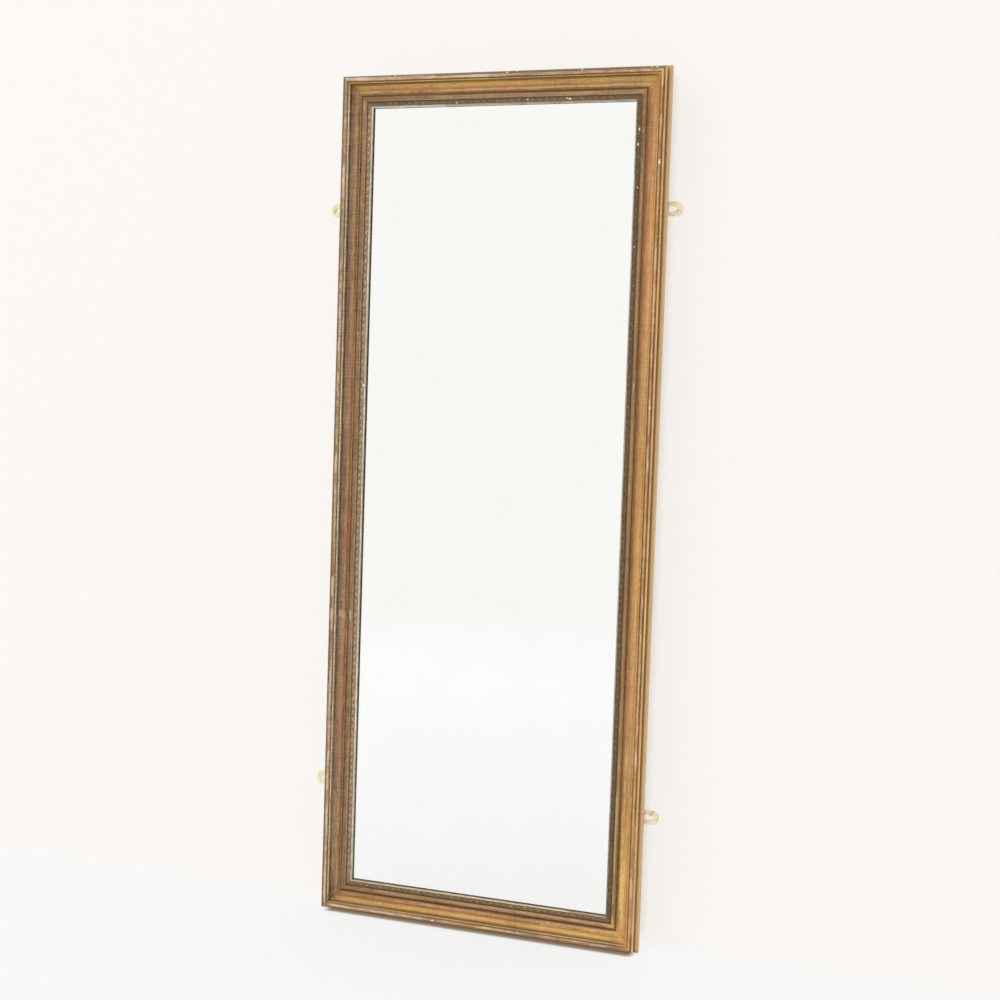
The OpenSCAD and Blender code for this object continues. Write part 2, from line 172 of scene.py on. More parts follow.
class Tone:
    """A value in a finish's node tree, on which sums can be written."""

    def __init__(self, tree, socket=None):
        self.tree, self.socket = tree, socket

    def node(self, kind, settings, sockets, out=0):
        """Adds a node of a kind: its settings first, then the values or links of its sockets."""
        made = self.tree.nodes.new("ShaderNode" + kind)
        for key, value in settings.items():
            if key == "stops":
                for place, colour in value[1:-1]:
                    made.color_ramp.elements.new(place)
                for stop, (place, colour) in zip(made.color_ramp.elements, value):
                    stop.position, stop.color = place, colour
            else:
                setattr(made, key, value)
        for key, value in sockets.items():
            if isinstance(value, Tone):
                self.tree.links.new(value.socket, made.inputs[key])
            else:
                made.inputs[key].default_value = value
        return Tone(self.tree, made.outputs[out])

    def maths(self, operation, *others):
        return self.node("Math", {"operation": operation}, dict(enumerate((self, *others))))

    def __add__(self, other):
        return self.maths("ADD", other)

    __radd__ = __add__

    def __sub__(self, other):
        return self.maths("SUBTRACT", other)

    def __rsub__(self, other):
        return self.node("Math", {"operation": "SUBTRACT"}, {0: other, 1: self})

    def __mul__(self, other):
        return self.maths("MULTIPLY", other)

    __rmul__ = __mul__

    def tinted(self, tint):
        """This colour seen through a tint."""
        return self.blend(1.0, self, tint, "MULTIPLY")

    def shaded(self, light):
        """This colour, lighter or darker."""
        return self.tinted(self.node("CombineColor", {}, {0: light, 1: light, 2: light}))

    def ramp(self, low, high):
        """0 up to low, 1 from high on, and smooth between."""
        span = {"Value": self, "From Min": low, "From Max": high}
        return self.node("MapRange", {"interpolation_type": "SMOOTHSTEP"}, span)

    def band(self, start, end, edge):
        """1 between two places, falling to 0 over an edge on each side."""
        return self.ramp(start - edge, start + edge) * (1 - self.ramp(end - edge, end + edge))

    def mottle(self, x, y, z, size, detail=3.0, rough=0.55, seed=0.0):
        """Noise on the place (x, y, z) in mm, with a size in mm for each direction."""
        x, y, z = (axis * (1 / across) for axis, across in zip((x, y, z), size))
        place = self.node("CombineXYZ", {}, {0: x + seed, 1: y, 2: z})
        grain = {"Vector": place, "Scale": 1.0, "Detail": detail, "Roughness": rough}
        return self.node("TexNoise", {}, grain)

    def blend(self, mask, low, high, mode="MIX"):
        """Low where the mask is 0 and high where it is 1, for colours."""
        settings = {"data_type": "RGBA", "blend_type": mode, "clamp_factor": True}
        return self.node("Mix", settings, {0: mask, 6: low, 7: high}, out=2)


def finish_named(name, **constants):
    """A new finish, its shader, and its three Object coordinates in millimetres."""
    finish = bpy.data.materials.new(name)
    finish.use_nodes = True
    tree = finish.node_tree
    shader = tree.nodes["Principled BSDF"]
    for key, value in constants.items():
        shader.inputs[key.replace("_", " ")].default_value = value
    blank = Tone(tree)
    place = blank.node("TexCoord", {}, {}, out="Object")
    place = blank.node("VectorMath", {"operation": "SCALE"}, {0: place, "Scale": 1 / mm})
    axes = [blank.node("SeparateXYZ", {}, {0: place}, out=axis) for axis in "XYZ"]
    return finish, shader, axes


def wire(shader, tone, socket):
    """Links a tone to a shader's socket."""
    tone.tree.links.new(tone.socket, shader.inputs[socket])


def bump(shader, height, strength, distance):
    """Fine relief on a surface, over a distance in mm."""
    relief = {"Strength": strength, "Distance": distance * mm, "Height": height}
    wire(shader, height.node("Bump", {}, relief), "Normal")


# Tones of the old gilding
PATINA = paint(74, 56, 36)
BOLE = paint(176, 108, 78)
GESSO = paint(246, 240, 230)
BARE = paint(76, 60, 44)

# Tones across the moulding of each side, from its outer edge to its sight edge. They are laid over
# this width and this depth, and the leaf was laid in squares of this size.
front_span, flank_span, leaf_size = 66, moulding_d, 78
# Each side's tones also hold painted light and shade: the same leaf is lighter or darker on each
# side and member as the light falls on it, as in the right side's bright hollow and shoulder and
# the left side's dark hollow. The crests carry painted highlights, and the top's pale rim is a
# painted reflection of the bright glass beside it.
TONES = {
    "bottom": dict(
        edge=(140, 106, 72), groove=(158, 124, 90), crest=(200, 168, 132), quirk=(156, 124, 92),
        fillet=(216, 184, 140), start=(152, 120, 68), outer=(220, 180, 116), middle=(174, 124, 72),
        inner=(204, 166, 126), vein=(184, 152, 116), foot=(152, 112, 72), deep=(122, 82, 36),
        step=(176, 148, 116), corner=(150, 114, 74), lip=(232, 214, 188), rim=(146, 128, 104),
    ),
    "top": dict(
        edge=(144, 120, 94), groove=(138, 120, 94), crest=(216, 184, 150), quirk=(148, 120, 80),
        fillet=(212, 176, 128), start=(148, 116, 60), outer=(196, 158, 100), middle=(176, 134, 80),
        inner=(206, 170, 132), vein=(160, 128, 88), foot=(160, 114, 68), deep=(128, 92, 52),
        step=(168, 140, 110), corner=(170, 139, 99), lip=(188, 176, 158), rim=(246, 236, 222),
    ),
    "left": dict(
        edge=(150, 120, 94), groove=(130, 106, 82), crest=(214, 184, 148), quirk=(140, 124, 94),
        fillet=(252, 242, 218), start=(96, 82, 54), outer=(150, 124, 98), middle=(176, 140, 108),
        inner=(136, 110, 72), vein=(108, 84, 54), foot=(180, 140, 96), deep=(144, 112, 72),
        step=(152, 128, 100), corner=(182, 148, 112), lip=(240, 229, 211), rim=(144, 132, 113),
    ),
    "right": dict(
        edge=(232, 190, 130), groove=(132, 92, 52), crest=(216, 172, 128), quirk=(158, 116, 62),
        fillet=(208, 168, 110), start=(224, 184, 124), outer=(224, 186, 126),
        middle=(202, 156, 100), inner=(186, 140, 96), vein=(168, 132, 86), foot=(148, 112, 72),
        deep=(146, 108, 62), step=(168, 136, 100), corner=(106, 76, 42), lip=(196, 186, 166),
        rim=(120, 108, 88),
    ),
}
# How much further in than on a plain length the painted highlights on the bead and on the step lie,
# and where the fillet's begins
NUDGE = {
    "bottom": (-1.0, 2.0, 0), "top": (-0.3, -0.5, 0),
    "left": (0.7, 0.8, 0.25), "right": (-0.6, 0.0, 0),
}
# Share of bole that shows, and seed of the noise, on each side
BOLE_SHOWN = {"bottom": 0.35, "top": 0.18, "left": 0.60, "right": 0.40}
SEED = {"bottom": 3.0, "top": 11.0, "left": 23.0, "right": 37.0}
# How uneven the toning is, and how much the bead changes along its length
UNEVEN = {"bottom": 1.2, "top": 1.8, "left": 3.1, "right": 1.5}
CHANGING = {"bottom": 0.42, "top": 0.32, "left": 0.62, "right": 0.44}

# Worn places and painted light: start and end along the side and inward, tone, and how much of it
# is laid. Most are wear; some are painted highlights and one a painted reflection, marked where
# they stand. A length runs up from the floor, or rightward from the middle, as one sees the mirror.
WEAR_AND_PAINTED_LIGHT = {
    "bottom": [
        (-345, -120, 1.6, 6.0, (242, 226, 204), 0.95),
        (215, 350, 3.0, 6.4, (134, 92, 62), 0.95),
        (-350, -130, 7.4, 9.6, (222, 192, 152), 0.95),
        (-350, -230, 13.6, 15.6, (224, 196, 146), 0.95),
        (215, 350, 12.8, 15.5, (198, 162, 104), 0.75),
        (150, 350, 25, 34, (238, 198, 140), 0.7),
        (-350, -130, 29, 34, (140, 108, 78), 0.85),
        (-350, 60, 28, 37, (156, 96, 74), 0.45),
        (-350, -240, 44, 49, (108, 86, 64), 0.8),
        (100, 350, 45, 49, (222, 194, 154), 0.7),
        (215, 350, 60.4, 64, (128, 110, 88), 0.9),
    ],
    "top": [
        (-360, -305, 0.0, 5.0, (248, 238, 224), 0.98),
        (-305, -150, 0.4, 3.0, (232, 214, 194), 0.8),
        (-352, -150, 29, 37, (116, 84, 56), 0.75),
        (-352, -150, 42.4, 47.6, (114, 90, 66), 0.9),
        (-80, 350, 29, 33, (230, 198, 156), 0.5),
        (110, 220, 43, 47, (210, 182, 148), 0.7),
        # A painted reflection: the pale lip here stands for the bright glass beside it
        (-352, -130, 60.2, 65, (255, 252, 246), 0.98),
        (-60, 20, 2.0, 8.0, (224, 208, 186), 0.8),
        (200, 345, 2.5, 9.0, (160, 100, 76), 0.75),
        (60, 240, 15, 26, (206, 170, 96), 0.5),
    ],
    "left": [
        (940, 1600, 5.6, 8.4, (140, 106, 76), 0.65),
        (610, 1110, 8.0, 11.2, (100, 80, 54), 0.55),
        (1190, 1390, 24, 34, (190, 134, 108), 0.75),
        (1655, 1740, 1.4, 7.0, (180, 120, 76), 0.85),
        (1560, 1650, 1.4, 6.6, (244, 222, 196), 0.7),
        (1440, 1500, 1.4, 7.0, (136, 100, 62), 0.6),
        (1350, 1410, 1.6, 6.6, (240, 208, 174), 0.75),
        (1088, 1145, 1.0, 7.4, (116, 88, 62), 0.75),
        (682, 775, 0.6, 7.6, (96, 68, 44), 0.98),
        (600, 660, 0.8, 7.6, (122, 92, 66), 0.75),
        (415, 510, 1.6, 7.0, (224, 212, 194), 0.8),
        (190, 250, 1.2, 7.4, (136, 108, 80), 0.75),
        (820, 910, 26, 36, (178, 104, 84), 0.8),
        (690, 1000, 23, 37, (160, 96, 76), 0.5),
        (60, 690, 20, 36, (180, 124, 88), 0.55),
        (600, 800, 13.4, 19, (104, 80, 58), 0.6),
        (60, 300, 15, 30, (206, 170, 134), 0.6),
        (662, 679, 1.6, 7.6, (230, 198, 174), 0.9),
        (662, 679, 16, 31, (232, 190, 156), 0.9),
        (662, 679, 42.6, 46.6, (238, 216, 184), 0.95),
        (612, 662, 21, 30, (206, 158, 126), 0.6),
        (460, 545, 24, 36, (190, 118, 72), 0.7),
        (780, 1120, 43, 48, (118, 94, 70), 0.7),
        (60, 265, 32.5, 36.5, (98, 72, 48), 0.6),
        (60, 265, 43, 48, (114, 90, 68), 0.85),
        (60, 430, 13.2, 16.5, (156, 136, 104), 0.8),
        (60, 420, 62.8, 65.4, (226, 214, 196), 0.9),
    ],
    "right": [
        # The bright golds low on this side, on the hollow and on the step, are painted highlights
        (1350, 1800, 26, 37, (176, 118, 92), 0.8),
        (780, 1800, 32, 37.5, (132, 84, 60), 0.7),
        (640, 1050, 14, 30, (206, 164, 78), 0.6),
        (40, 300, 14, 27, (228, 182, 98), 0.7),
        (955, 1290, 3.4, 6.4, (240, 208, 164), 0.65),
        (640, 1290, 8.0, 10.6, (98, 72, 46), 0.75),
        (90, 300, 28, 34.2, (244, 202, 130), 0.85),
        (300, 450, 27, 32.6, (236, 192, 124), 0.7),
        (50, 190, 23, 32, (255, 214, 126), 0.95),
        (1630, 1800, 43, 48, (112, 88, 66), 0.75),
        (10, 340, 45.2, 48.4, (232, 196, 108), 0.95),
        (10, 300, 37.6, 40.4, (96, 66, 30), 0.7),
        (1630, 1800, 49.4, 51.6, (178, 150, 114), 0.95),
        (10, 300, 49.0, 52.0, (70, 50, 26), 0.95),
        (1630, 1800, 60.4, 64, (88, 78, 64), 0.98),
        (10, 290, 60.4, 64, (96, 84, 68), 0.9),
        (40, 290, 0.0, 2.8, (224, 182, 128), 0.9),
        (1610, 1800, 2.8, 6.6, (150, 106, 72), 0.8),
    ],
}

# Hairline cracks through the gesso, where the wood has shrunk: places along each side
CRACKS = {
    "bottom": (-214, 96), "top": (-168, 120),
    "left": (134, 323, 681, 1248), "right": (402, 834, 1507),
}


def gilding(side):
    """Old gilding of one side: member tones with their painted light and shade, toning along the
    length, and wear.
    """
    half, length = SIDES[side][1:]
    tone = {member: paint(*shade) for member, shade in TONES[side].items()}
    finish, shader, (x, y, z) = finish_named(side + "_gilding")
    depth = y - crest_y
    if side in ("left", "right"):
        off_centre, along, middle_at = x, z, overall_h / 2
    else:
        off_centre, along, middle_at = z - overall_h / 2, x, 0
    inward = off_centre + half if side in ("left", "bottom") else half - off_centre

    def noise(size, shift, **kind):
        """Noise with a size in mm along the length, inward and in depth."""
        return inward.mottle(along, inward, depth, size, seed=SEED[side] + shift, **kind)

    wander = noise((26, 26, 26), 0, detail=2)
    across = inward + wander - 0.5
    # Tones across the front, from the outer edge to the sight edge, with each side's painted light
    # and shade
    bead_in, step_in, fillet_in = NUDGE[side]
    members = (
        (0.8, "groove"), (2.0, "groove"), (4.4 + bead_in, "crest"), (6.6 + bead_in, "crest"),
        (9.0 + bead_in, "quirk"), (10.6 + bead_in + fillet_in, "quirk"),
        (11.2 + bead_in + fillet_in, "fillet"), (12.3 + bead_in, "fillet"), (13.2, "start"),
        (14.4, "start"), (16.6, "outer"), (20.6, "outer"), (25.0, "middle"), (27.4, "middle"),
        (30.4, "inner"), (32.2, "inner"), (33.2, "vein"), (34.0, "vein"), (35.4, "foot"),
        (36.4, "foot"), (37.8, "deep"), (39.6, "deep"), (43.6 + step_in, "step"),
        (46.2 + step_in, "step"), (49.0 + step_in / 2, "corner"), (51.0, "corner"),
        (59.9, "corner"), (60.5, "lip"), (62.3, "lip"), (63.2, "rim"),
    )
    stops = [(u / front_span, tone[member]) for u, member in members]
    stops.append((65.2 / front_span, BARE))
    base = inward.node("ValToRGB", {"stops": stops}, {0: across * (1 / front_span)})
    # Tones down the flank: the side bead's shoulder takes each side's edge tone, dark toning on
    # three sides and a painted highlight on the right, and the groove below it is dark
    down = (
        (2.0, tone["groove"]), (2.7, tone["edge"]), (5.0, tone["edge"]), (9.4, paint(182, 138, 82)),
        (13.6, paint(134, 100, 54)), (17.0, paint(142, 106, 58)), (22.0, paint(138, 102, 56)),
        (23.0, BARE),
    )
    stops = [(d / flank_span, shade) for d, shade in down]
    flank = inward.node("ValToRGB", {"stops": stops}, {0: depth * (1 / flank_span)})
    base = inward.blend(1 - inward.ramp(0.8, 1.1), base, flank)
    # The hollow's steep start, below the fillet, is dark: patina and painted shade at the foot of
    # the fillet's wall
    steep = inward.band(12.2, 13.0, 0.15) * depth.ramp(6.0, 7.6)
    base = inward.blend(steep * 0.8, base, tone["start"])
    # Streaks and clouds of toning along the length, and the squares of leaf with their laps
    streak = noise((130, 2.0, 2.0), 0, detail=4, rough=0.6)
    brush = noise((26, 3.2, 3.2), 5, detail=5, rough=0.6)
    cloud = noise((60, 24, 24), 6)
    crossing = noise((2.4, 30, 30), 9, rough=0.6)
    fine = noise((2.2, 2.2, 2.2), 30, detail=4, rough=0.6)
    leaves = along * (1 / leaf_size) + wander * 0.05 + SEED[side]
    square = inward.node("TexWhiteNoise", {"noise_dimensions": "1D"}, {"W": leaves.maths("FLOOR")})
    lap = 1 - leaves.maths("FRACT").ramp(0.015, 0.03)
    uneven = UNEVEN[side]
    light = 0.92 + (streak - 0.5) * 0.80 + (brush - 0.5) * 0.46 * uneven
    light = light + (cloud - 0.5) * 0.24 + square * 0.10 + lap * 0.06
    light = light + ((crossing - 0.5) * 0.36 + (fine - 0.5) * 0.34) * uneven
    # Slow changes along the length, in depth of tone and in hue
    drift = noise((230, 15, 15), 33)
    hue = noise((150, 12, 12), 37)
    light = light + (drift - 0.5) * 0.75 + (hue - 0.5) * inward.band(2.2, 7.6, 1.0) * 0.9
    base = base.shaded(light)
    # Yellower and rosier lengths of leaf, and rosy and olive streaks in it
    gilded = inward.band(2.4, 36.5, 0.8) + inward.band(41.5, 48.5, 0.8)
    rosy = noise((70, 2.6, 2.6), 40).ramp(0.5, 0.72)
    olive = noise((90, 3.4, 3.4), 47).ramp(0.52, 0.74)
    for mask, share, tint in (
        (hue.ramp(0.50, 0.72), 0.7, (255, 246, 204)),
        (1 - hue.ramp(0.28, 0.50), 0.7, (255, 230, 226)),
        (rosy, 0.5, (255, 216, 208)),
        (olive, 0.5, (250, 246, 196)),
    ):
        base = inward.blend(mask * gilded * share, base, base.tinted(paint(*tint)))
    # The toning runs together towards the mitres: a duller gold on the left half, and on the right
    # half a bright gold that is a painted highlight carried round the corner
    to_mitre = length / 2 - (along - middle_at).maths("ABSOLUTE") - inward
    upper = z.ramp(800, 1000)
    at_left = x.blend(upper, paint(150, 118, 80), paint(172, 134, 84))
    right_mitre_highlight = x.blend(upper, paint(236, 188, 102), paint(214, 166, 92))
    mitre_tone_and_highlight = x.blend(x.ramp(-50, 50), at_left, right_mitre_highlight)
    near_mitre = 1 - (to_mitre + wander * 10).ramp(2, 34)
    base = inward.blend(near_mitre * gilded * 0.6, base, mitre_tone_and_highlight)
    # Worn places, bole, patina or pale leaf, and some painted highlights and a painted reflection,
    # in broken streaks
    ragged = noise((22, 3.0, 3.0), 14, detail=5, rough=0.68)
    strayed, frayed = along + wander * 40 - 20, across + ragged * 3 - 1.5
    for first, last, outer, inner, wear_and_highlight_tone, share in WEAR_AND_PAINTED_LIGHT[side]:
        here = strayed.band(first, last, 8) * frayed.band(outer, inner, 1.5)
        here = here * ragged.ramp(0.66 - 0.34 * share, 0.80 - 0.30 * share)
        base = inward.blend(here * 0.6, base, paint(*wear_and_highlight_tone))
    bole_share = BOLE_SHOWN[side]
    from_here = 0.60 - 0.07 * bole_share
    bole = ragged.ramp(from_here, from_here + 0.10) * gilded * (0.25 + 0.6 * bole_share)
    base = inward.blend(bole, base, BOLE)
    # The bead's crest: lengths that are rubbed pale, warm or dark in turn
    on_bead = inward.band(2.2, 7.6, 0.6) * (1 - depth.ramp(3.0, 4.0))
    on_step = inward.band(42.6, 46.8, 0.7)
    turns = noise((42, 11, 11), 52, detail=5, rough=0.62)
    on_crest = on_bead * CHANGING[side]
    base = inward.blend(turns.ramp(0.53, 0.60) * on_crest, base, paint(236, 214, 188))
    base = inward.blend((1 - turns.ramp(0.41, 0.48)) * on_crest, base, paint(158, 106, 62))
    base = inward.blend(turns.ramp(0.60, 0.70) * on_step * 0.5, base, paint(224, 200, 176))
    # Specks where the gesso shows, patina in the pits, and hairline cracks
    speck = noise((1.7, 1.7, 1.7), 60, detail=2).ramp(0.735, 0.76)
    speck = speck * (on_bead + on_step * 0.6 + gilded * 0.25)
    base = inward.blend(speck * 0.8, base, GESSO)
    pits = noise((12, 4, 4), 21, detail=6, rough=0.72).ramp(0.54, 0.74)
    base = inward.blend(pits * 0.45, base, PATINA)
    crack = (1 - to_mitre.ramp(0.1, 0.9)) * 0.4
    jagged = along + brush * 3 - 1.5
    for at in CRACKS[side]:
        crack = crack.maths("MAXIMUM", jagged.band(at - 0.2, at + 0.2, 0.25))
    base = inward.blend(crack * 0.75, base, paint(50, 38, 26))
    wire(shader, base, "Base Color")
    gilt = 0.70 - 0.5 * bole - 0.35 * speck - 0.4 * crack - 0.25 * pits
    if side == "left":
        # The fillet here is rubbed through to the gesso
        gilt = gilt * (1 - inward.band(11.9, 12.8, 0.15) * 0.65)
    wire(shader, gilt, "Metallic")
    wire(shader, 0.36 + 0.14 * bole + 0.2 * pits + streak * 0.16 + 0.3 * speck, "Roughness")
    height = streak * 0.5 + ragged * 0.5 + crossing * 0.2 + fine * 0.3
    bump(shader, height - crack * 1.2 - speck * 0.5, 0.35, 0.3)
    return finish


def gesso(name, seed):
    """White gesso, gritty where it has broken."""
    finish, shader, (x, y, z) = finish_named(name, Roughness=0.85)
    grit = x.mottle(x, y, z, (1.4, 1.4, 1.4), detail=4, seed=seed)
    wire(shader, x.blend(grit.ramp(0.35, 0.7), GESSO, paint(214, 200, 178)), "Base Color")
    bump(shader, grit, 0.5, 0.3)
    return finish


# Chips knocked out of the gesso: place along the side, inward, depth of the surface there, and the
# chip's length, width and depth
CHIPS = {
    "bottom": [(-91, 4.2, 0.0, 9, 4.5, 1.1), (-300, 3.4, 0.3, 4, 2.2, 0.7)],
    "top": [
        (-239, -0.6, 2.3, 5, 3.4, 1.2), (18, -0.6, 2.3, 6, 3.6, 1.3),
        (40, -0.8, 2.4, 3.5, 2.8, 1.0), (183, -0.7, 2.3, 5, 3.2, 1.2),
        (332, -0.5, 2.3, 4, 2.8, 1.0), (343, -0.6, 2.3, 6, 3.4, 1.2),
    ],
    "left": [
        (1177, 60.6, 19.2, 9, 3.6, 1.6), (1698, -0.4, 2.6, 4, 2.8, 1.0),
        (1290, 44.6, 13.4, 3, 2, 0.5),
    ],
    "right": [
        (1651, 4.4, 0.0, 12, 4.8, 1.5), (1150, 4.0, 0.1, 6, 3.0, 0.9),
        (813, 11.6, 2.8, 4, 1.6, 0.9), (784, 11.6, 2.8, 3, 1.6, 0.8),
        (1500, 3.0, 0.5, 3, 2, 0.7), (520, 4.6, 0.0, 3.5, 2, 0.6),
    ],
}


def on_bench(side, at):
    """The place along the bench, from its middle, of a place along a side."""
    if side in ("bottom", "top"):
        return at if side == "bottom" else -at
    return overall_h / 2 - at if side == "left" else at - overall_h / 2


def chip_out(piece, side):
    """Cuts the chips out of a length while it lies on the bench; the cut faces are gesso."""
    core = gesso(side + "_gesso", SEED[side] + 70)
    chance = random.Random(side)
    lumps = []
    for at, u, d, long, wide, deep in CHIPS[side]:
        select_none()
        bpy.ops.mesh.primitive_ico_sphere_add(subdivisions=2, radius=1)
        lump = bpy.context.object
        for corner in lump.data.vertices:
            corner.co *= chance.uniform(0.78, 1.1)
        lump.scale = (long / 2 * mm, deep * mm, wide / 2 * mm)
        lump.location = (on_bench(side, at) * mm, (crest_y + d) * mm, u * mm)
        lump.data.materials.append(core)
        lumps.append(lump)
    pick(*lumps)
    bpy.ops.object.transform_apply(location=True, rotation=True, scale=True)
    if len(lumps) > 1:
        bpy.ops.object.join()
    cutter = bpy.context.object
    cut = piece.modifiers.new("chips", "BOOLEAN")
    cut.operation = "DIFFERENCE"
    cut.solver = "EXACT"
    cut.material_mode = "TRANSFER"
    cut.object = cutter
    cut.use_self = True
    apply_all(piece)
    bpy.data.objects.remove(cutter, do_unlink=True)


for side, (turn, half, length) in SIDES.items():
    piece = mouldings[side]
    piece.data.materials.append(gilding(side))
    chip_out(piece, side)
    put_on(piece, turn, half)
    pick(piece)
    bpy.ops.object.shade_smooth_by_angle(angle=math.radians(28))
    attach(piece, "root")
    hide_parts(side + "_moulding")

# Composition ornament. Strips of cast composition, a running stem with leaves and berries on a thin
# fillet, are pressed and glued into the channel beside the sight lip, toned dark and rubbed on top.
channel_u = 50.4
channel_w = 9.0
channel_middle = channel_u + channel_w / 2
strip_top = -11.4
strip_d = 1
pitch = 31.2
stem_r = 0.62
stem_swing = 2.8
stem_cuts = 12
clear_of_mitre = 6


def ornament_strip(name, length):
    """The thin fillet under one side's leaves, on the bench, with its ends mitred."""
    select_none()
    bpy.ops.mesh.primitive_cube_add(size=1)
    piece = bpy.context.object
    piece.name = piece.data.name = name
    piece.scale = (length * mm, strip_d * mm, channel_w * mm)
    piece.location = (0, (strip_top + strip_d / 2) * mm, channel_middle * mm)
    bpy.ops.object.transform_apply(location=True, rotation=True, scale=True)
    bpy.ops.object.mode_set(mode="EDIT")
    cut_mitres(length / 2)
    bpy.ops.object.mode_set(mode="OBJECT")
    return piece


def lobe(x, u, long, wide, high, turn, sharp=1.0):
    """One lobe, half sunk in the strip: a rounded leaf, drawn out to its tips by sharp."""
    select_none()
    bpy.ops.mesh.primitive_uv_sphere_add(
        segments=8, ring_count=5, radius=1, rotation=(0, math.radians(90), 0)
    )
    piece = bpy.context.object
    bpy.ops.object.transform_apply(location=False, rotation=True, scale=False)
    for corner in piece.data.vertices:
        reach = abs(corner.co.x)
        narrow = (1 - reach ** 2) ** (0.5 * (sharp - 1)) if reach < 0.999 else 0
        corner.co.y *= narrow
        corner.co.z *= narrow
    piece.scale = (long / 2 * mm, high * mm, wide / 2 * mm)
    piece.rotation_euler = (0, math.radians(turn), 0)
    piece.location = (x * mm, 0, u * mm)
    return piece


# Lobes of half a repeat: three of the leaf, the bud and the two berries. Place along and aside,
# length, width, height, turn, and how far the tips are drawn out.
LOBES = (
    (-0.6, -0.2, 10.4, 3.8, 1.9, -30, 1.6),
    (2.4, -2.6, 6.4, 2.8, 1.6, -66, 1.4),
    (-2.9, 2.5, 6.2, 2.8, 1.6, 20, 1.4),
    (5.2, -2.7, 2.9, 2.9, 1.7, 0, 1.0),
    (-5.4, -2.6, 2.6, 2.4, 1.5, 0, 1.0),
    (3.4, 3.2, 3.4, 1.7, 1.2, -20, 1.0),
)


def repeat_of_ornament():
    """One repeat: a winding stem, with the lobes on one side of it and then on the other."""
    parts = []
    for hand, x in ((1, -pitch / 4), (-1, pitch / 4)):
        for along, aside, long, wide, high, turn, sharp in LOBES:
            parts.append(lobe(x + along, aside * hand, long, wide, high, turn * hand, sharp))
    select_none()
    bpy.ops.mesh.primitive_cylinder_add(
        vertices=5, radius=stem_r * mm, depth=pitch * mm, end_fill_type="NGON"
    )
    stem = bpy.context.object
    stem.rotation_euler = (0, math.radians(90), 0)
    bpy.ops.object.transform_apply(location=False, rotation=True, scale=False)
    bpy.ops.object.mode_set(mode="EDIT")
    for n in range(1, stem_cuts):
        bpy.ops.mesh.select_all(action="SELECT")
        at = (n / stem_cuts - 0.5) * pitch * mm
        bpy.ops.mesh.bisect(plane_co=(at, 0, 0), plane_no=(1, 0, 0))
    bpy.ops.object.mode_set(mode="OBJECT")
    for corner in stem.data.vertices:
        corner.co.z += stem_swing * math.cos(2 * math.pi * corner.co.x / (pitch * mm)) * mm
    parts.append(stem)
    pick(*parts)
    bpy.ops.object.transform_apply(location=True, rotation=True, scale=True)
    bpy.ops.object.join()
    return bpy.context.object


# Ground, leaf and rubbed tone of the ornament on each side; the rubbed tone on the leaves' tops is
# also a painted highlight
ORNAMENT_TONES = {
    "bottom": (paint(132, 106, 74), paint(158, 130, 96), paint(182, 156, 120)),
    "top": (paint(120, 96, 68), paint(144, 118, 88), paint(172, 146, 114)),
    "left": (paint(152, 128, 98), paint(196, 172, 140), paint(226, 204, 174)),
    "right": (paint(112, 88, 60), paint(132, 106, 76), paint(158, 132, 98)),
}
# Places along each side where a leaf has broken off and the white core shows, and its relative size
BROKEN = {
    "bottom": (),
    "top": ((-101, 1.1), (59, 1.1), (150, 3.0)),
    "left": ((1177, 1.8),),
    "right": ((1721, 1.6), (1690, 1.5), (1603, 1.5), (1480, 1.1)),
}


def ornament_tone(side):
    """Toned composition of one side: dark in the ground, and rubbed lighter on the leaves, with a
    painted highlight on their tops.
    """
    seed = SEED[side]
    ground, leaf, rubbed = ORNAMENT_TONES[side]
    finish, shader, (x, y, z) = finish_named(side + "_composition")
    rise = strip_top - y
    relief = rise.ramp(0.1, 1.3)
    wear = x.mottle(x, y, z, (11, 11, 11), detail=5, rough=0.65, seed=seed)
    fine = x.mottle(x, y, z, (1.3, 1.3, 1.3), detail=3, seed=seed)
    # Rubbing and a painted highlight together on the tops of the leaves
    rub_and_highlight = rise.ramp(0.8, 1.7) * wear.ramp(0.36, 0.60)
    base = x.blend(relief * 0.9, ground, leaf)
    base = x.blend(rub_and_highlight * 0.8, base, rubbed)
    broad = x.mottle(x, y, z, (34, 34, 34), detail=3, seed=seed + 3)
    base = base.shaded(0.22 + fine * 0.4 + wear * 0.62 + broad * 0.54)
    wire(shader, base, "Base Color")
    wire(shader, 0.25 + 0.35 * rub_and_highlight, "Metallic")
    wire(shader, 0.60 - 0.14 * rub_and_highlight, "Roughness")
    bump(shader, fine, 0.3, 0.2)
    return finish


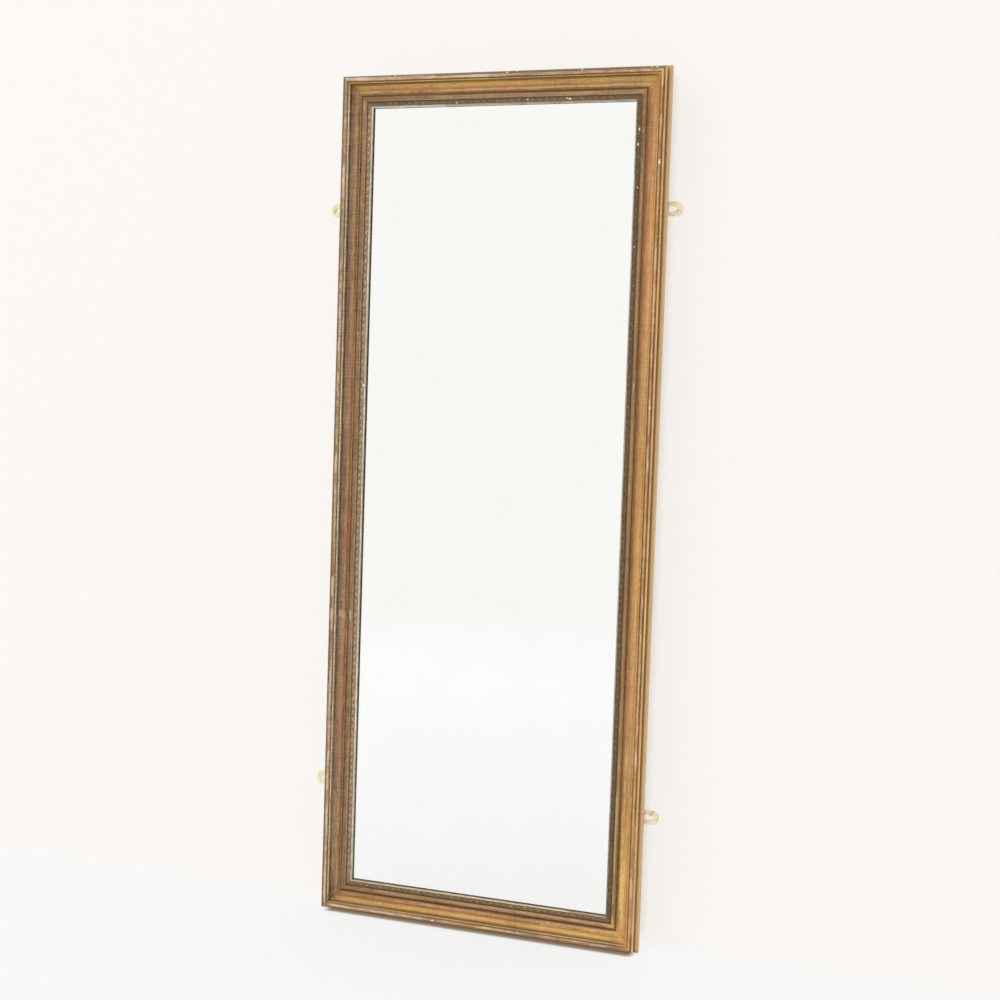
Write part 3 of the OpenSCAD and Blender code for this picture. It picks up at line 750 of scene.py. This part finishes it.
for side, (turn, half, length) in SIDES.items():
    strip = ornament_strip(side + "_running_leaf", length)
    one = repeat_of_ornament()
    count = math.floor((length - 2 * (channel_u + channel_w + clear_of_mitre)) / pitch)
    repeats = one.modifiers.new("repeats", "ARRAY")
    repeats.count = count
    repeats.use_relative_offset = False
    repeats.use_constant_offset = True
    repeats.constant_offset_displace = (pitch * mm, 0, 0)
    apply_all(one)
    first = -(count - 1) / 2 * pitch
    one.data.transform(Matrix.Translation((first * mm, strip_top * mm, channel_middle * mm)))
    strip.data.materials.append(ornament_tone(side))
    one.data.materials.append(strip.data.materials[0])
    pick(strip, one)
    bpy.ops.object.join()
    if BROKEN[side]:
        core = gesso(side + "_broken_core", SEED[side] + 80)
        chance = random.Random(side)
        for at, size in BROKEN[side]:
            aside = 3 if side == "left" else chance.uniform(-1.5, 1.5)
            turned = chance.uniform(-20, 20)
            flake = lobe(
                on_bench(side, at), channel_middle + aside, 4.6 * size, 2.6 + size, 1.6, turned
            )
            flake.location.y = strip_top * mm
            for corner in flake.data.vertices:
                corner.co *= chance.uniform(0.8, 1.12)
            flake.data.materials.append(core)
            pick(flake)
            bpy.ops.object.transform_apply(location=True, rotation=True, scale=True)
            pick(strip, flake)
            bpy.ops.object.join()
    put_on(strip, turn, half)
    pick(strip)
    bpy.ops.object.shade_smooth_by_angle(angle=math.radians(40))
    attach(strip, "root")
    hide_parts(side + "_ornament")

# Mirror plate. A single sheet of plate glass with ground edges, silvered on its back, stands on
# the bottom rail and is held forward against the sight lips by the blocks behind it.
lo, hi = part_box("mirror_glass")
select_none()
bpy.ops.mesh.primitive_cube_add(size=1)
plate = bpy.context.object
plate.name = plate.data.name = "silvered_plate"
plate.scale = hi - lo
plate.location = (lo + hi) / 2
bpy.ops.object.transform_apply(location=True, rotation=True, scale=True)
polish = plate.modifiers.new("ground edges", "BEVEL")
polish.width = 0.4 * mm
polish.segments = 1
apply_all(plate)

clear_tone = (0.996, 1.0, 0.996, 1)
glass = finish_named(
    "plate_glass", Roughness=0.0, IOR=1.5, Transmission_Weight=1.0, Base_Color=clear_tone
)[0]
silver, shader, (x, y, z) = finish_named("silvering", Metallic=1.0, Roughness=0.0)
spots = x.mottle(x, y, z, (140, 140, 140), detail=2).ramp(0.3, 0.7)
silvered = x.blend(spots, (0.975, 0.985, 0.975, 1), (0.99, 0.995, 0.985, 1))
wire(shader, silvered, "Base Color")
plate.data.materials.append(glass)
plate.data.materials.append(silver)
for face in plate.data.polygons:
    if face.normal.y > 0.9:
        face.material_index = 1
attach(plate, "root")
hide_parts("mirror_glass")

# Back frame. Four pine members, lapped and screwed at the corners, with a sloped front arris. Their
# outer edges have a wash of yellow ochre, and the back is bare wood, brown with age.


def timber(name, axis, pale, dark, seed, middle=0.0, heart=150.0, ring=3.6, knots=(), ochre=False):
    """Pine with its grain along an axis, cut so that the tree's heart lay behind the middle."""
    finish, shader, place = finish_named(name)
    x, y, z = place
    along, across = place[axis], place[2 - axis]
    aside = across - middle + x.mottle(along, across, y, (170, 50, 50), detail=3, seed=seed + 1) * 9
    rings = (aside * aside + heart * heart).maths("SQRT") - y * 0.5
    rings = rings + x.mottle(along, across, y, (480, 150, 90), detail=2, seed=seed) * 60
    knot = x * 0  # and 1 inside the knots
    for place_along, place_across, radius in knots:
        ahead, beside = (along - place_along) * 0.75, across - place_across
        gap = (ahead * ahead + beside * beside).maths("SQRT")
        rings = rings + (1 - gap.ramp(0, radius * 5)) * (radius * 2.4)
        knot = knot.maths("MAXIMUM", 1 - gap.ramp(radius * 0.75, radius))
    rings = rings * (1 / ring)
    rings = rings + (rings * 0.61).maths("SINE") * 0.8 + (rings * 1.7 + 2).maths("SINE") * 0.22
    late = rings.maths("FRACT")
    late = late.ramp(0.15, 0.85) * (1 - late.ramp(0.88, 1.0))
    fibre = x.mottle(along, across, y, (45, 0.9, 0.9), detail=4, seed=seed + 3)
    board = x.mottle(along, across, y, (400, 60, 60), detail=2, seed=seed + 7)
    grain = late * board.ramp(0.2, 0.7) * 0.5 + fibre * 0.5
    base = x.blend(grain.ramp(0.10, 0.85), pale, dark)
    base = x.blend(board.ramp(0.35, 0.75) * 0.3, base, paint(104, 78, 52))
    base = x.blend(knot * 0.75, base, paint(92, 56, 34))
    stain = x.mottle(x, y, z, (90, 70, 90), detail=6, rough=0.62, seed=seed + 12)
    base = x.blend(stain.ramp(0.52, 0.78) * 0.5, base, paint(88, 68, 48))
    base = x.blend((1 - stain.ramp(0.25, 0.46)) * 0.3, base, paint(206, 178, 138))
    if ochre:
        # Toning on the ledge beside the moulding, and on the stiles' edges a wash of yellow ochre
        sideways = x.maths("ABSOLUTE")
        patchy = stain.mottle(x, y, z, (12, 12, 12), detail=5, seed=seed + 17)
        front = 1 - (y + patchy * 1.5).ramp(5.5, 7)
        tone = x.blend(sideways.ramp(362.8, 365.0), paint(190, 146, 78), paint(222, 186, 136))
        rubbed = sideways.ramp(367.2, 367.9) * patchy.ramp(0.3, 0.6)
        tone = x.blend(rubbed, tone, paint(232, 206, 172))
        tone = x.blend(z.ramp(overall_h - 4.5, overall_h - 3), tone, paint(200, 184, 162))
        tone = x.blend(1 - z.ramp(0.5, 2.5), tone, paint(84, 64, 40))
        veiled = x.blend(fibre.ramp(0.3, 0.7), paint(236, 232, 226), paint(255, 255, 255))
        base = x.blend(front, base, tone.tinted(veiled))
    wire(shader, base, "Base Color")
    wire(shader, 0.62 + 0.18 * fibre, "Roughness")
    bump(shader, grain * 0.6 + fibre * 0.5, 0.4, 0.35)
    return finish


def refinish(node, finish):
    """Gives a finish to a piece that keeps its CAD mesh."""
    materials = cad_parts[node].data.materials
    materials.clear()
    materials.append(finish)


pale_pine, dark_pine = paint(186, 146, 98), paint(140, 98, 58)
for n, (node, axis) in enumerate(
    (("back_left_stile", 2), ("back_right_stile", 2), ("back_bottom_rail", 0), ("back_top_rail", 0))
):
    refinish(node, timber(node + "_pine", axis, pale_pine, dark_pine, 40.0 + 9 * n, ochre=True))

# Backboards and glass blocks. Five thin pine boards lie across the back in their rebate, nailed at
# both ends, and small wedge-shaped blocks are glued behind the glass.
chance = random.Random(5)
knot_edge = 40
board_tones = ((176, 140, 98), (166, 126, 84), (182, 142, 96), (160, 124, 86), (172, 132, 90))
for n, board_tone in enumerate(board_tones):
    node = f"backboard_{n + 1}"
    lo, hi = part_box(node)
    low, high, reach = lo.z / mm, hi.z / mm, hi.x / mm
    knots = []
    for _ in range(3):
        place_along = chance.uniform(-0.9, 0.9) * reach
        place_across = chance.uniform(low + knot_edge, high - knot_edge)
        knots.append((place_along, place_across, chance.uniform(5, 11)))
    middle = low + (high - low) * chance.uniform(0.25, 0.75)
    heart = chance.uniform(25, 70)
    refinish(node, timber(
        node + "_pine", 0, paint(*board_tone), paint(118, 84, 54), 90.0 + 13 * n,
        middle=middle, heart=heart, ring=5.2, knots=knots,
    ))
block_pine = timber("block_pine_finish", 2, paint(190, 150, 104), paint(150, 110, 70), 170.0)
refinish("glass_blocks", block_pine)

# Brass mirror plates. Four keyhole plates stamped from sheet brass are screwed to the back of the
# stiles, and their round tabs stand out at the sides to hang on wall screws.


def brass(name, tone, seed):
    """Sheet brass, brushed, and clouded with age."""
    finish, shader, (x, y, z) = finish_named(name)
    cloud = x.mottle(x, y, z, (9, 9, 9), detail=5, seed=seed)
    brushed = x.mottle(x, y, z, (0.5, 12, 6), detail=3, seed=seed + 4)
    base = x.blend(cloud.ramp(0.45, 0.75) * 0.6, tone, paint(164, 128, 78))
    wire(shader, base, "Base Color")
    wire(shader, 0.75 - 0.2 * cloud, "Metallic")
    wire(shader, 0.26 + 0.18 * cloud + 0.06 * brushed, "Roughness")
    bump(shader, brushed, 0.15, 0.1)
    return finish


for n, corner in enumerate(("upper_left", "upper_right", "lower_left", "lower_right")):
    node = corner + "_plate"
    refinish(node, brass(node + "_brass", paint(252, 238, 204), 200.0 + 7 * n))
refinish("plate_screws", brass("screw_brass_finish", paint(224, 190, 128), 240.0))

# Fixings. Slotted steel screws draw the mouldings down and hold the laps, and cut nails hold the
# backboards; all are dull with a little rust.


def old_steel(name, seed):
    """Dull steel with spots of rust."""
    finish, shader, (x, y, z) = finish_named(name)
    rust = x.mottle(x, y, z, (3, 3, 3), detail=5, seed=seed).ramp(0.42, 0.66)
    wire(shader, x.blend(rust, paint(118, 114, 108), paint(98, 62, 42)), "Base Color")
    wire(shader, 0.95 - 0.85 * rust, "Metallic")
    wire(shader, 0.38 + 0.4 * rust, "Roughness")
    bump(shader, rust, 0.4, 0.1)
    return finish


for n, node in enumerate(("frame_screws", "corner_screws", "backboard_nails")):
    refinish(node, old_steel(node + "_steel", 260.0 + 5 * n))

# Stage. A plain pale floor carries the mirror and a plain pale backdrop stands behind it, two matt
# painted sheets for the picture alone, in soft studio light from the left. Sizes are in metres.
wall_y = 0.080
room_size = 16
select_none()
bpy.ops.mesh.primitive_plane_add(size=room_size, location=(0, 0, 0))
floor = bpy.context.object
floor.name = "floor"
select_none()
bpy.ops.mesh.primitive_plane_add(
    size=room_size, location=(0, wall_y, room_size / 2), rotation=(math.radians(90), 0, 0)
)
wall = bpy.context.object
wall.name = "wall"


def seen_by(tone, *kinds):
    """1 for these kinds of ray, and 0 for the others."""
    first, *others = (tone.node("LightPath", {}, {}, out=f"Is {kind} Ray") for kind in kinds)
    for ray in others:
        first = first.maths("MAXIMUM", ray)
    return first


def stage_paint(name, tone, lit, one_sided):
    """Matt paint, part lit and part even for the eye, that fades into the backdrop far away."""
    finish, shader, (x, y, z) = finish_named(
        name, Roughness=0.9, Specular_IOR_Level=0.0, Base_Color=tone
    )
    tree = finish.node_tree
    even = tree.nodes.new("ShaderNodeBsdfPrincipled")
    even.inputs["Specular IOR Level"].default_value = 0.0
    even.inputs["Base Color"].default_value = (*(c * lit for c in tone[:3]), 1)
    even.inputs["Emission Strength"].default_value = 1 - lit
    # Soft shade on the backdrop behind the mirror and on the floor beneath it
    behind = (1 - x.maths("ABSOLUTE").ramp(343, 368)) * z.ramp(0, 30) * (1 - z.ramp(1835, 1855))
    off_middle = (x - 5).maths("ABSOLUTE")
    beneath = (1 - off_middle.ramp(345, 364)) * y.band(-35, 12, 8) * (1 - z.ramp(0, 1))
    shaded = x.blend(behind, tone, paint(234, 228, 219))
    wire(even, x.blend(beneath, shaded, paint(140, 120, 96)), "Emission Color")
    clear = tree.nodes.new("ShaderNodeBsdfTransparent")
    eye = seen_by(x, "Camera", "Glossy", "Transmission")
    place = x.node("CombineXYZ", {}, {0: x, 1: y, 2: z})
    far = x.node("VectorMath", {"operation": "LENGTH"}, {0: place}, out="Value")
    keep = 1 - far.ramp(2600, 6500)
    if one_sided:
        from_behind = x.node("NewGeometry", {}, {}, out="Backfacing")
        keep = keep * seen_by(x, "Camera") * (1 - from_behind)
    seen, whole = tree.nodes.new("ShaderNodeMixShader"), tree.nodes.new("ShaderNodeMixShader")
    for mix, mask, low, high in ((seen, eye, shader, even), (whole, keep, clear, seen)):
        tree.links.new(mask.socket, mix.inputs[0])
        tree.links.new(low.outputs[0], mix.inputs[1])
        tree.links.new(high.outputs[0], mix.inputs[2])
    tree.links.new(whole.outputs[0], tree.nodes["Material Output"].inputs["Surface"])
    return finish


pick(floor, wall)
bpy.ops.object.transform_apply(location=True, rotation=True, scale=True)
floor.data.materials.append(stage_paint("floor_paint", paint(249, 249, 248), 0.22, False))
wall.data.materials.append(stage_paint("wall_paint", paint(250, 247, 244), 0.15, True))

scene = bpy.context.scene
world = bpy.data.worlds.new("soft room")
scene.world = world
world.use_nodes = True
sky = world.node_tree
surface = sky.nodes["Background"]
blank = Tone(sky)
# Even where it is seen; where it only lights, brighter from above and from the left
seen = seen_by(blank, "Camera", "Singular", "Transmission")
direction = blank.node("TexCoord", {}, {}, out="Generated")
dx, dz = (blank.node("SeparateXYZ", {}, {0: direction}, out=axis) for axis in "XZ")
soft = 0.86 - 0.06 * dx + 0.14 * dz
wire(surface, seen + (1 - seen) * soft, "Strength")
surface.inputs["Color"].default_value = paint(250, 249, 247)

lamp_aim = Vector((0, 0, 0.95))
bpy.ops.object.light_add(type="AREA", location=(-1.9, -3.9, 3.1))
lamp = bpy.context.object
lamp.name = "window_light"
lamp.data.shape = "RECTANGLE"
lamp.data.size, lamp.data.size_y = 2.6, 3.2
lamp.data.energy = 55
lamp.rotation_euler = (lamp_aim - lamp.location).to_track_quat("-Z", "Y").to_euler()
# The plate doesn't show the lamp itself
lamp.visible_transmission = lamp.visible_glossy = False

# Camera. It stands at the viewer's place, a little to the right and chest-high, and looks through a
# long lens with a small roll, so that the picture has the photograph's own angle.
viewpoint = (1.2814, -3.3982, 1.1836)
azimuth, elevation, roll = (math.radians(a) for a in (20.32, 3.83, 1.92))
ahead = Vector((-math.sin(azimuth), math.cos(azimuth), 0))
view = math.cos(elevation) * ahead - Vector((0, 0, math.sin(elevation)))
level = Vector((math.cos(azimuth), math.sin(azimuth), 0))
upright = level.cross(view)
right = math.cos(roll) * level + math.sin(roll) * upright
up = -math.sin(roll) * level + math.cos(roll) * upright
bpy.ops.object.camera_add(location=viewpoint)
camera = bpy.context.object
camera.rotation_euler = Matrix((right, up, -view)).transposed().to_euler()
camera.data.lens = 60.85
camera.data.sensor_width = 36
scene.camera = camera
scene.view_settings.view_transform = "Standard"
